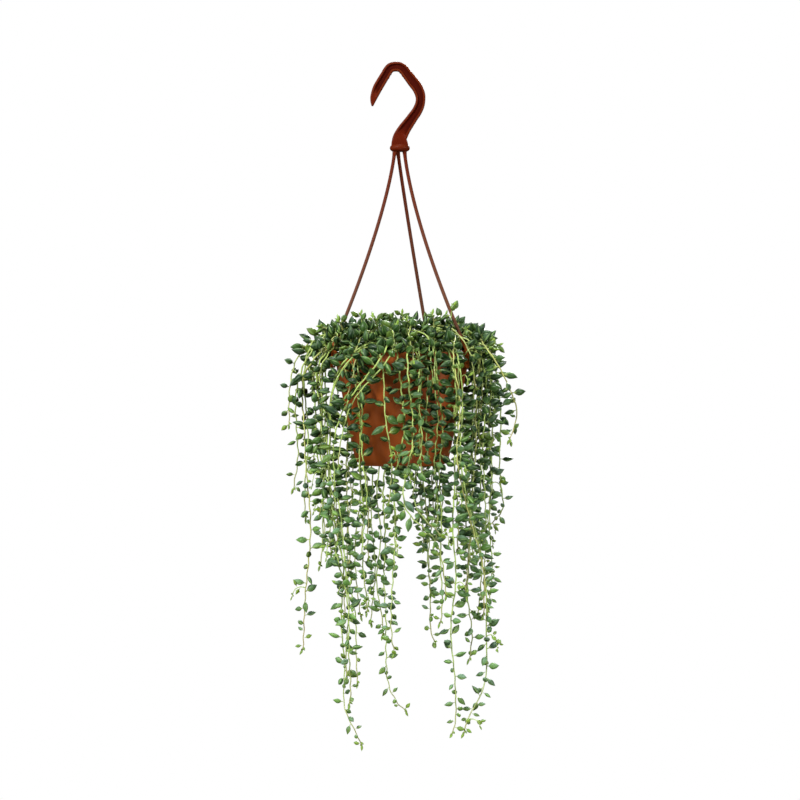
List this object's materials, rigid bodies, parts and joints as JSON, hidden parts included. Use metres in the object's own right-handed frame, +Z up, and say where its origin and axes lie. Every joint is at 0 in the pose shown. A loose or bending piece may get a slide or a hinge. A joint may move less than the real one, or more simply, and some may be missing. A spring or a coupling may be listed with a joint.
{
  "type": "hanging pot plant",
  "caption": "Round tapered plastic pot on a three-rod hook hanger, planted with a succulent whose thin leafy stems mound over the rim and trail far below it.",
  "frame": {"origin": "inside of the hook's crown, where a rail bears", "axes": "+Z up along the hanging direction, +X to the right in the front view, +Y away from the viewer"},
  "size_m": [0.2599, 0.218, 0.7252],
  "materials": {
    "terracotta_plastic": "satin",
    "hanger_plastic": "satin",
    "potting_soil": "matte",
    "leaf_green": "satin"
  },
  "bodies": {
    "root": {"crown_01": "leaf_green", "crown_02": "leaf_green", "crown_03": "leaf_green", "crown_04": "leaf_green", "crown_05": "leaf_green", "crown_06": "leaf_green", "crown_07": "leaf_green", "crown_08": "leaf_green", "hanger": "hanger_plastic", "pot": "terracotta_plastic", "soil": "potting_soil", "strand_01": "leaf_green", "strand_02": "leaf_green", "strand_03": "leaf_green", "strand_04": "leaf_green", "strand_05": "leaf_green", "strand_06": "leaf_green", "strand_07": "leaf_green", "strand_08": "leaf_green", "strand_09": "leaf_green", "strand_10": "leaf_green", "strand_11": "leaf_green", "strand_12": "leaf_green", "strand_13": "leaf_green", "strand_14": "leaf_green", "strand_15": "leaf_green", "strand_16": "leaf_green", "strand_17": "leaf_green", "strand_18": "leaf_green", "strand_19": "leaf_green", "strand_20": "leaf_green", "strand_21": "leaf_green", "strand_22": "leaf_green", "strand_23": "leaf_green", "strand_24": "leaf_green", "strand_25": "leaf_green", "strand_26": "leaf_green", "strand_27": "leaf_green", "strand_28": "leaf_green", "strand_29": "leaf_green", "strand_30": "leaf_green", "strand_31": "leaf_green", "strand_32": "leaf_green", "strand_33": "leaf_green", "strand_34": "leaf_green", "strand_35": "leaf_green"}
  },
  "joints": []
}
